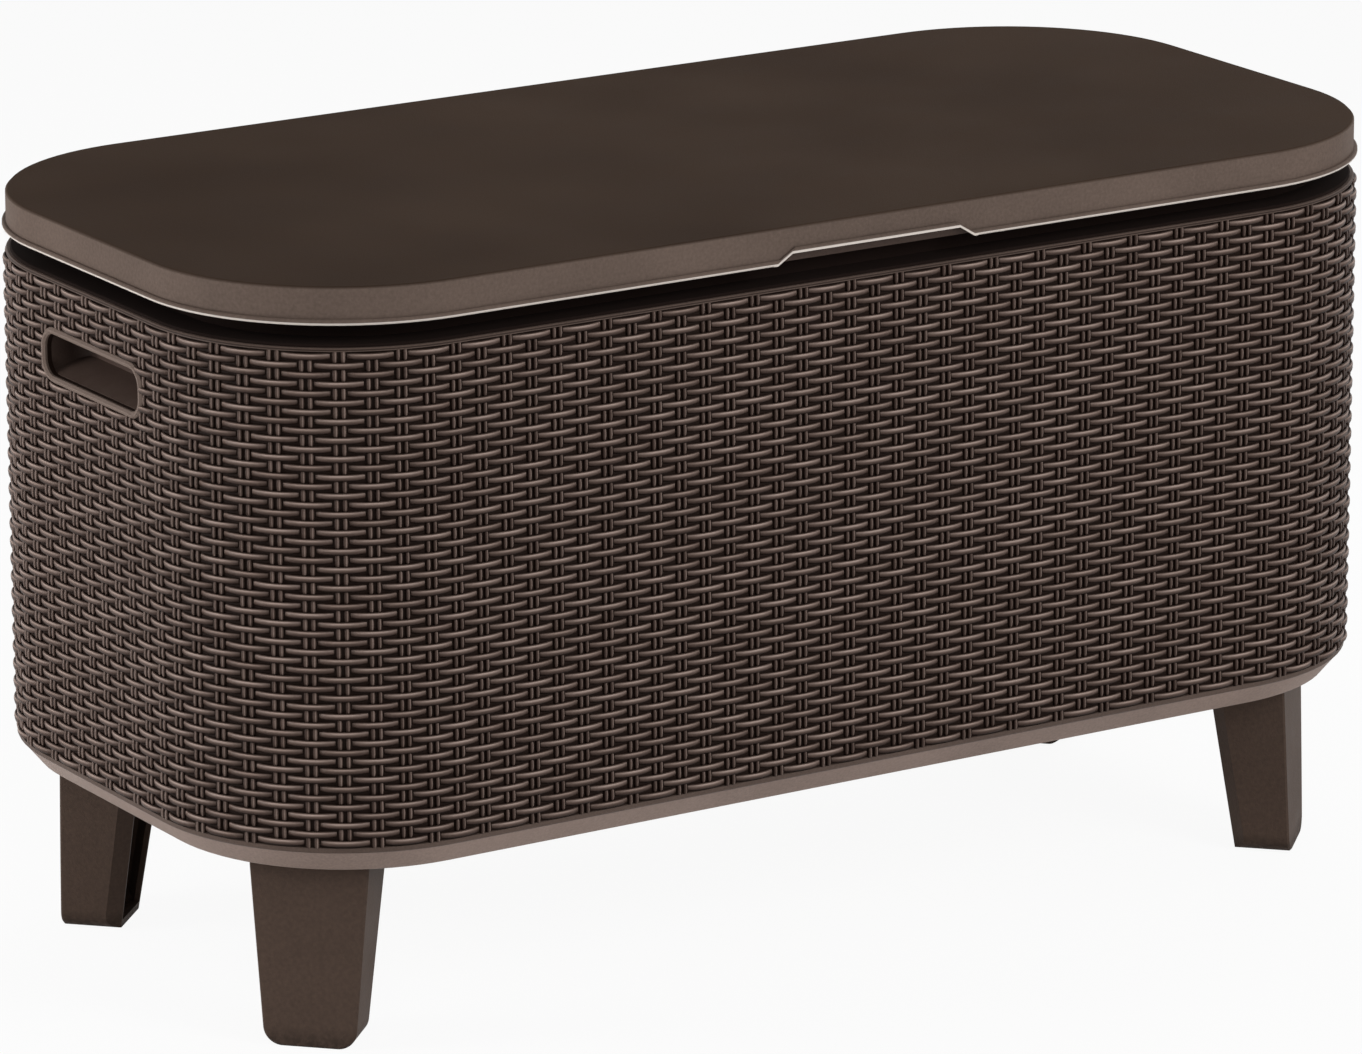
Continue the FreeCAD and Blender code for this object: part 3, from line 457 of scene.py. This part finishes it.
def bezel_reach(size, away, this_half, other_half):
    """How far the grip's bezel reaches one way, at a distance off its middle line; 0 beyond it."""
    radius, reach = size["Grip Radius"], size[this_half]
    fallen = (abs(away) - (size[other_half] - radius)).over(0.0)
    rounded = (radius * radius - fallen * fallen).over(0.0) ** 0.5
    near = abs(away).maths("LESS_THAN", size[other_half])
    return (reach - radius + rounded) * near * reach.maths("GREATER_THAN", 0.0)


def push_out(size, offset, away, this_half, other_half):
    """Shift an offset outwards to where the bezel ends."""
    return offset.maths("SIGN") * abs(offset).over(bezel_reach(size, away, this_half, other_half))


def weave_in(size, points, shape, wanted, shove, seed):
    """Put a shape on its points, clear the bezel, wrap it all on the wall and close the tree."""
    random = points.node("FunctionNodeRandomValue", {"data_type": "FLOAT"}, {"Seed": seed}, "Value")
    toned = keep(points, "strand_tone", random, "FLOAT")
    sockets = {"Points": toned, "Instance": shape, "Selection": wanted}
    laid = toned.node("GeometryNodeInstanceOnPoints", inputs=sockets)
    real = laid.node("GeometryNodeRealizeInstances", inputs={"Geometry": laid})
    pair, out, down = real.node("GeometryNodeInputPosition").parts()
    marked = keep(real, "weave_flat", vector(pair * size["Long Pitch"], out, down), "FLOAT_VECTOR")
    close_tree(wrap(move(marked, shove(pair, out, down)), size), size["Finish"])
    return points.tree


def strands_tree():
    """Rows of strands. Those that meet the grip's bezel are shortened to end inside it."""
    start, size = new_tree("weave_strands", WEAVE_SIZES)
    points, pair, down, _, used = lay_out(start, size, 0, 1)
    along, level = from_grip(pair, down, size)
    bezel = bezel_reach(size, level, "Grip Half Length", "Grip Half Height")
    reaching = (abs(along) + size["Strand Reach"] * size["End Pitch"]).maths("GREATER_THAN", bezel)

    def shove(pair, out, down):
        along, level = from_grip(pair, down, size)
        pushed = push_out(size, along, level, "Grip Half Length", "Grip Half Height")
        return vector(pair + (pushed - along) / size["End Pitch"], out, down)
    laid = move(points, vector(pair, 0.0, down))
    return weave_in(size, laid, strand(start, size), used * reaching, shove, STRAND_SEED)


def rods_tree():
    """Two rods in each window between strands, cut off at the bezel and the field's edges."""
    start, size = new_tree("weave_rods", WEAVE_SIZES)
    points, pair, down, hand, used = lay_out(start, size, 1, 2)
    pair = pair + (hand * 2 - 1) * size["Rod Offset"]
    along, level = from_grip(pair, down, size)
    bezel = bezel_reach(size, along, "Grip Half Height", "Grip Half Length")
    reaching = (abs(level) + size["Rod Reach"]).maths("GREATER_THAN", bezel)

    def shove(pair, out, down):
        along, level = from_grip(pair, down, size)
        pushed = push_out(size, level, along, "Grip Half Height", "Grip Half Length")
        down = (down + pushed - level).over(0.0).under(size["Field Height"])
        return vector(pair, out, down)
    laid = move(points, vector(pair, 0.0, down))
    return weave_in(size, laid, rod(start, size), used * reaching, shove, ROD_SEED)


def weave_plastic():
    """Brown strands with a lengthwise grain, a painted highlight line along their upper edge, and
    painted shade where they sink between their neighbours and on their lower side."""
    material, place = new_material("weave_plastic")
    flat = place.node("ShaderNodeAttribute", {"attribute_name": "weave_flat"}, output="Vector")
    own = place.node("ShaderNodeAttribute", {"attribute_name": "strand_tone"}, output="Fac")
    scaled = {0: flat, 1: (0.12, 1.0, 1.0)}
    lengthwise = place.node("ShaderNodeVectorMath", {"operation": "MULTIPLY"}, scaled)
    grain = noise(lengthwise, 0.0006, 2.0)
    painted_light = place.node("ShaderNodeAttribute", {"attribute_name": "weave_painted_light"}, output="Fac")
    height = flat.parts()[1]
    proud = height.step(-0.0002, 0.0006)
    varied = (own * 0.5 + grain * 0.5).step(0.2, 0.8)
    body = mix(varied, tone(70, 56, 50), tone(92, 76, 69))
    # Painted highlight colours.
    highlight_tone = mix(varied, tone(144, 124, 114), tone(178, 158, 148))
    # Painted highlight: a fine pale line on the upper edge, half as strong on the rods.
    highlight_line = painted_light.step(0.86, 0.97) * height.step(ROD_TOP, STRAND_TOP, 0.5, 1.0)
    # Painted shade: near black where a tube sinks back or faces down.
    tinted = mix(proud * painted_light.step(0.2, 0.8), tone(34, 22, 17), mix(highlight_line, body, highlight_tone))
    surface(place, tinted, 0.38 + grain * 0.14, grain + noise(place, 0.0008) * 0.5, 0.00008)
    return material


def weave_panel(name, first_pair, pairs, grip_half_length):
    """One side's strands and rods."""
    values = {"First Pair": first_pair, "Pairs": pairs, "Grip Half Length": grip_half_length}
    grow(f"weave_{name}_strands", strand_rows, values, weave_finish, "cabinet")
    grow(f"weave_{name}_rods", rod_rows, values, weave_finish, "cabinet")


strand_rows = strands_tree()
rod_rows = rods_tree()
weave_finish = weave_plastic()
weave_panel("front", 10.0, 45.0, NO_GRIP)
weave_panel("right", 55.0, 20.0, GRIP_HALF_LENGTH)
weave_panel("rear", 75.0, 45.0, NO_GRIP)
weave_panel("left", 120.0, 20.0, GRIP_HALF_LENGTH)


# Hand grips: a smooth pocket behind each end opening, clipped against the inside of the shell.
# Hands polish the front of its sloping floor.
POCKET_BACK = 0.398
POCKET_FRONT = 0.416


def hand_worn(place, tinted):
    """Paler and smoother towards the pocket's front."""
    across = abs(place.parts()[0])
    worn = across.step(POCKET_BACK, POCKET_FRONT) * noise(place, 0.012, 3.0).step(0.3, 0.8)
    return mix(worn * 0.4, tinted, tone(104, 90, 82)), worn * -0.1


grip_plastic = moulded("grip_plastic", tone(74, 60, 54), 0.38, 0.0008, 0.00004, hand_worn)
dress(grip_plastic, "grip_cup_left", "grip_cup_right")


# Tub: the drafted inner bucket with its neck and the flange that the lid's gap shows. Cold water
# stands in it, so faint tide lines run round its wall. The foam fills the room behind it.
WATER_TOP = 0.33
WATER_LOW = 0.18
TIDE_RATE = 320
MOUTH_EDGE = 0.100


def tub_finish(place, tinted):
    """Brown inside, with tide lines; nearly black outside the mouth, where the lid shades it."""
    height = place.parts()[2]
    wobble = height + noise(place, 0.05) * 0.006
    bands = (wobble * TIDE_RATE).maths("SINE")
    scale = bands.step(0.85, 1.0) * height.step(WATER_TOP, WATER_LOW)
    inner = mix(scale * 0.3, tinted, tone(112, 102, 96))
    outside = outline_distance(place).step(MOUTH_EDGE, MOUTH_EDGE + 0.003)
    return mix(outside, inner, tone(28, 19, 16)), scale * 0.2 + outside * 0.45


tub_plastic = moulded("tub_plastic", tone(74, 60, 53), 0.42, 0.0010, 0.00004, tub_finish)
dress(tub_plastic, "cooler_tub")


def rigid_foam():
    """Cream insulation with closed cells and the odd blow hole."""
    material, place = new_material("rigid_foam")
    sockets = {"Vector": place, "Scale": 700.0}
    cells = place.node("ShaderNodeTexVoronoi", inputs=sockets, output="Distance")
    age = noise(place, 0.05, 3.0).step(0.3, 0.7)
    aged = mix(age, tone(228, 219, 188), tone(214, 199, 158))
    tinted = mix(cells.step(0.5, 0.1) * 0.25, aged, tone(176, 158, 118))
    surface(place, tinted, 0.85 + age * 0.1, cells, 0.0004)
    return material


dress(rigid_foam(), "tub_foam", "lid_foam")


# Drain: a black spout clamped through the floor of the tub by a nut, with a rubber ring under its
# flange and a push-in plug that comes out from below.
def rubber():
    """Soft black rubber, dusty in its fine pits."""
    material, place = new_material("rubber")
    dust = noise(place, 0.004, 5.0).step(0.5, 0.75)
    tinted = mix(dust * 0.35, tone(34, 33, 32), tone(84, 80, 76))
    surface(place, tinted, 0.72 + dust * 0.15, noise(place, 0.0005), 0.00008)
    return material


drain_plastic = moulded("drain_plastic", tone(46, 40, 37), 0.36, 0.0008, 0.00004)
dress(drain_plastic, "drain_spout", "drain_nut", "drain_plug")
rubber_finish = rubber()
dress(rubber_finish, "drain_gasket")


# Hinges: two fibre-filled brackets screwed to the tub's flange, each with a steel pin through the
# lid's ears. The screws of the whole table are the same bright zinc-plated steel.
def zinc_steel():
    """Zinc-plated steel: fine turning marks, cloudy passivation and dull specks."""
    material, place = new_material("zinc_steel")
    clouds = noise(place, 0.003, 4.0)
    scaled = {0: place, 1: (1.0, 1.0, 9.0)}
    turned = place.node("ShaderNodeVectorMath", {"operation": "MULTIPLY"}, scaled)
    marks = noise(turned, 0.0009, 1.0)
    tinted = mix(clouds.step(0.3, 0.7), tone(186, 186, 180), tone(214, 212, 204))
    surface(place, tinted, 0.26 + clouds * 0.2, marks, 0.00003, 0.5, 1.0)
    return material


hinge_plastic = moulded("hinge_plastic", tone(52, 42, 38), 0.48, 0.0006, 0.00006)
dress(hinge_plastic, "hinge_bracket_left", "hinge_bracket_right")
steel_finish = zinc_steel()
dress(steel_finish, "hinge_pin_left", "hinge_pin_right", "hinge_screws")
dress(steel_finish, "foot_screws", "base_screws", "lid_screws")


# Lid: a moulded panel with a grained skirt, a lip with a painted highlight along its edge that
# climbs over the finger notch, and a plainer table top painted darker as shade, over a liner, a
# foam core and the soft seal.
TABLE_TOP = 0.4734
LIP_BOTTOM = 0.4508
NOTCH_RISE = 0.0065
NOTCH_HALF_TOP = 0.0600
NOTCH_HALF_BOTTOM = 0.0705
FRONT = -0.15


def lid_finish(place, tinted):
    """The flat top is painted darker than the skirt as shade; a painted highlight runs pale along
    the lip's lower edge, also where it climbs over the finger notch."""
    x, y, height = place.parts()
    worn = noise(place, 0.14, 4.0).step(0.35, 0.7)
    # Painted shade: the flat top gets a darker colour than the skirt.
    flat = mix(worn, tone(56, 44, 36), tone(66, 53, 44))
    notch = abs(x).step(NOTCH_HALF_BOTTOM, NOTCH_HALF_TOP) * y.step(FRONT, FRONT - 0.01)
    # Painted highlight: a pale line along the lip's lower edge, over the notch too.
    edge = (height - notch * NOTCH_RISE).step(LIP_BOTTOM + 0.0017, LIP_BOTTOM + 0.0012)
    lip_highlight = edge * outline_distance(place).step(SHELL_RADIUS + 0.0006, SHELL_RADIUS + 0.0010)
    skirt = mix(lip_highlight, tinted, tone(212, 202, 194))
    top = height.step(TABLE_TOP - 0.0016, TABLE_TOP - 0.0004)
    return mix(top, skirt, flat), top * 0.34 - lip_highlight * 0.2


lid_plastic = moulded("lid_plastic", tone(100, 86, 78), 0.52, 0.0013, 0.00014, lid_finish, 0.03)
dress(lid_plastic, "lid_top")
dress(moulded("liner_plastic", tone(72, 59, 53), 0.36, 0.0010, 0.00004), "lid_liner")
dress(rubber_finish, "lid_seal")


# Stage: a pale floor that takes the table's shadow, a white surround, and soft lamps low at the
# sides with a weak one overhead, which leave the near corner and the top quieter.
FLOOR_SHARE = 0.93
FLOOR_LEVEL = -0.0002
FLOOR_HALF = 9
WHITE = (1.0, 1.0, 1.0, 1.0)


def seen(start):
    """1 for the rays that show a thing: from the camera, in a reflection or through glass."""
    rays = ("Is Camera Ray", "Is Glossy Ray", "Is Transmission Ray")
    return sum(start.node("ShaderNodeLightPath", output=ray) for ray in rays).under(1.0)


def stage_floor():
    """White to the camera and in reflections, but matt enough to keep the table's shadow."""
    material, place = new_material("studio_floor")
    matt = place.node("ShaderNodeBsdfDiffuse", inputs={"Color": (0.86, 0.86, 0.86, 1.0)})
    white = place.node("ShaderNodeEmission", inputs={"Color": WHITE, "Strength": 1.0})
    share = seen(place) * FLOOR_SHARE
    mixed = place.node("ShaderNodeMixShader", inputs={0: share, 1: matt, 2: white})
    place.node("ShaderNodeOutputMaterial", inputs={"Surface": mixed})
    mesh = bpy.data.meshes.new("studio_floor")
    sides = ((-1, -1), (1, -1), (1, 1), (-1, 1))
    corners = [(x * FLOOR_HALF, y * FLOOR_HALF, FLOOR_LEVEL) for x, y in sides]
    mesh.from_pydata(corners, [], [(0, 1, 2, 3)])
    mesh.materials.append(material)
    floor = bpy.data.objects.new("studio_floor", mesh)
    bpy.context.scene.collection.objects.link(floor)


def surround():
    """A plain white surround: full strength where it is seen, weaker as a light."""
    world = bpy.data.worlds.new("surround")
    bpy.context.scene.world = world
    world.use_nodes = True
    world.node_tree.nodes.clear()
    start = Signal(world.node_tree)
    strength = seen(start).step(0.0, 1.0, 0.30, 1.0)
    sky = start.node("ShaderNodeBackground", inputs={"Color": WHITE, "Strength": strength})
    start.node("ShaderNodeOutputWorld", inputs={"Surface": sky})


def soft_lamp(name, place, aim, size, power):
    """A rectangular lamp that faces its aim."""
    light = bpy.data.lights.new(name, "AREA")
    light.shape = "RECTANGLE"
    light.size, light.size_y = size
    light.energy = power
    lamp = bpy.data.objects.new(name, light)
    lamp.location = place
    lamp.rotation_euler = (Vector(aim) - Vector(place)).to_track_quat("-Z", "Y").to_euler()
    bpy.context.scene.collection.objects.link(lamp)


stage_floor()
surround()
soft_lamp("end_lamp", (-2.6, 0.9, 1.0), (-0.3, 0.0, 0.2), (0.9, 1.4), 30.0)
soft_lamp("low_lamp", (-1.5, 0.35, 0.22), (-0.36, 0.12, 0.05), (0.7, 0.3), 3.5)
soft_lamp("front_lamp", (0.9, -2.5, 1.5), (0.1, -0.1, 0.25), (1.0, 1.4), 38.0)
soft_lamp("near_lamp", (-1.9, -2.4, 1.9), (-0.2, -0.1, 0.25), (1.4, 1.0), 11.0)
soft_lamp("top_lamp", (1.1, 0.9, 1.5), (0.2, 0.0, 0.4), (1.2, 1.2), 10.0)


# Camera: a long lens a little above the table, looking at its front left corner from 5 metres
# away, as in the photograph.
CAMERA_TURN = math.radians(-32.337)
CAMERA_RISE = math.radians(15.894)
CAMERA_ROLL = math.radians(-0.126)
CAMERA_DISTANCE = 5.1047
CAMERA_AIM = Vector((0.0235, 0.0502, 0.2147))
back = Vector((
    math.sin(CAMERA_TURN) * math.cos(CAMERA_RISE),
    -math.cos(CAMERA_TURN) * math.cos(CAMERA_RISE),
    math.sin(CAMERA_RISE),
))
lens = bpy.data.cameras.new("camera")
lens.lens = 213.7
lens.sensor_width = 36.0
camera = bpy.data.objects.new("camera", lens)
level_turn = (-back).to_track_quat("-Z", "Y").to_matrix()
camera.rotation_euler = (level_turn @ Matrix.Rotation(CAMERA_ROLL, 3, "Z")).to_euler()
camera.location = CAMERA_AIM + back * CAMERA_DISTANCE
bpy.context.scene.collection.objects.link(camera)
bpy.context.scene.camera = camera
bpy.context.scene.view_settings.view_transform = "Standard"
